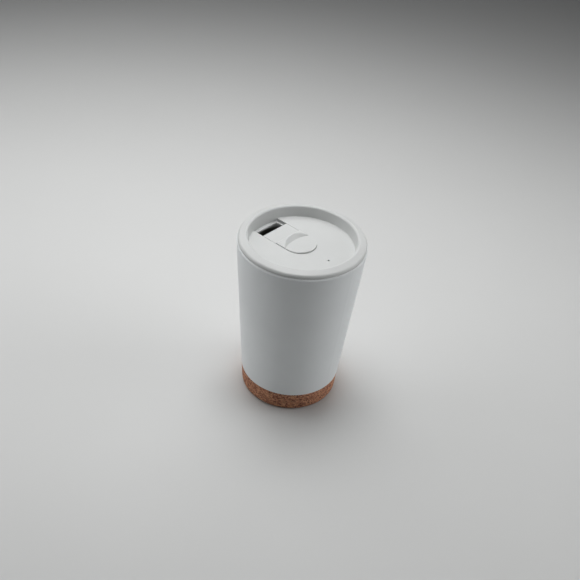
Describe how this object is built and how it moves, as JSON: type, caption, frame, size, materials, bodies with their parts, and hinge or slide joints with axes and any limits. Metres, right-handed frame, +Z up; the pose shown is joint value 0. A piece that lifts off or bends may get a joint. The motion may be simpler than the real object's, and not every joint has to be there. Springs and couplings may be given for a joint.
{
  "type": "travel tumbler",
  "caption": "Tapered double-wall travel tumbler with a cork base and a lift-off lid with a slide cover over the drinking hole.",
  "frame": {"origin": "centre of the cork's underside, on the surface the cup stands on", "axes": "+Z up along the cup's axis, -X towards the drinking hole, +Y across the slide channel"},
  "size_m": [0.0848, 0.0848, 0.1247],
  "materials": {
    "powder_coat": "matte powder coat",
    "bare_steel": "brushed",
    "glue": "cured adhesive",
    "cork": "natural pressed cork",
    "lid_plastic": "fine matte moulding",
    "silicone": "translucent white silicone"
  },
  "bodies": {
    "cup": {"outer_shell": "powder_coat", "inner_liner": "bare_steel", "base_plate": "bare_steel", "base_glue": "glue", "cork_base": "cork"},
    "lid": {"lid_body": "lid_plastic", "lid_seal": "silicone"},
    "slide": {"slide_cover": "lid_plastic", "slide_seal": "silicone", "slide_clip": "lid_plastic"}
  },
  "joints": [
    {"name": "lid_lift", "type": "slide", "parent": "cup", "child": "lid", "axis": [0, 0, 1], "range_m": [0, 0.05]},
    {"name": "cover_slide", "type": "slide", "parent": "lid", "child": "slide", "axis": [-1, 0, 0], "range_m": [0, 0.0077]}
  ]
}
